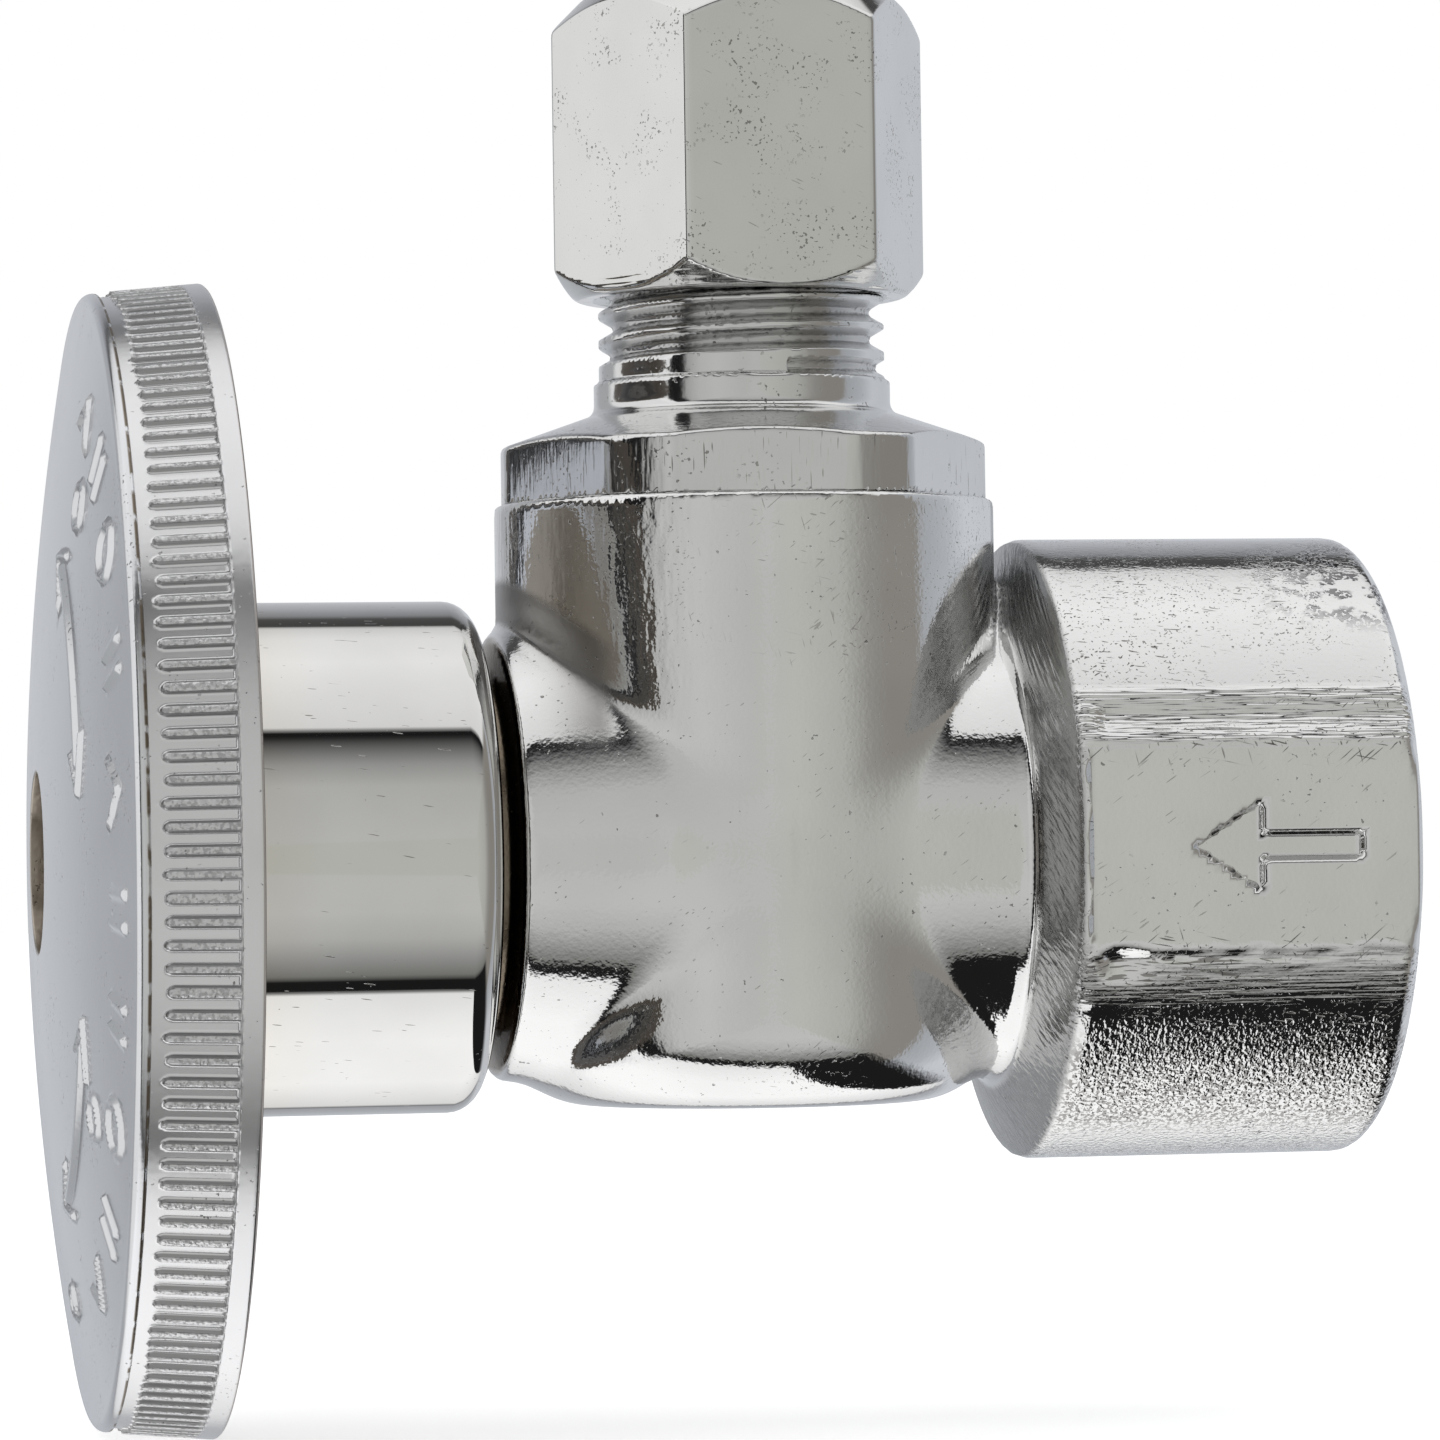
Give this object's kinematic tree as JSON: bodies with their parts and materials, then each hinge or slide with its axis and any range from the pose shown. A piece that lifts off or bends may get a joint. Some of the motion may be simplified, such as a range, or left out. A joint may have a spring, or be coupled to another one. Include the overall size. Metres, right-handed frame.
{
  "type": "angle stop valve",
  "caption": "Quarter-turn angle stop valve with a ribbed wheel handle, a female threaded inlet and a compression outlet at right angles to it.",
  "frame": {"origin": "centre of the inlet socket's mouth, on the inlet axis", "axes": "+X out of the inlet along its axis, +Z out of the outlet, handle on the -X side"},
  "size_m": [0.0506, 0.0434, 0.0543],
  "materials": {
    "chrome_body": "plated over a forged skin, fine scratches",
    "chrome_nut": "plated over turned brass",
    "chrome_handle": "plated die casting, satin bright",
    "brass": "turned, unplated",
    "ball_chrome": "polished",
    "ptfe": "smooth, waxy",
    "acetal": "smooth",
    "rubber": "moulded, dull",
    "screw_steel": "zinc plated"
  },
  "bodies": {
    "body": {"valve_body": "chrome_body", "outlet_adapter": "chrome_nut", "adapter_o_ring": "rubber", "outlet_seat": "ptfe", "outlet_seat_backing_ring": "rubber", "lower_seat": "ptfe", "stem_thrust_washer": "ptfe", "stem_guide_bush": "acetal"},
    "handle_and_ball": {"handle": "chrome_handle", "handle_lock_washer": "screw_steel", "handle_screw": "screw_steel", "stem": "brass", "stem_o_ring_inner": "rubber", "stem_o_ring_outer": "rubber", "valve_ball": "ball_chrome"},
    "sleeve": {"compression_sleeve": "brass"},
    "nut": {"compression_nut": "chrome_nut"}
  },
  "joints": [
    {"name": "handle_turn", "type": "hinge", "parent": "body", "child": "handle_and_ball", "pos_m": [-0.0234, 0, 0], "axis": [1, 0, 0], "range_deg": [0, 90]},
    {"name": "sleeve_slide", "type": "slide", "parent": "body", "child": "sleeve", "axis": [0, 0, 1], "range_m": [-0.00132, 0.0037]},
    {"name": "nut_spin", "type": "hinge", "parent": "sleeve", "child": "nut", "pos_m": [-0.0234, 0, 0.0267], "axis": [0, 0, 1], "range_deg": [-450, 1260]}
  ],
  "couplings": [
    {"joint": "sleeve_slide", "follows": "nut_spin", "m_per_rad": 0.00016844}
  ]
}
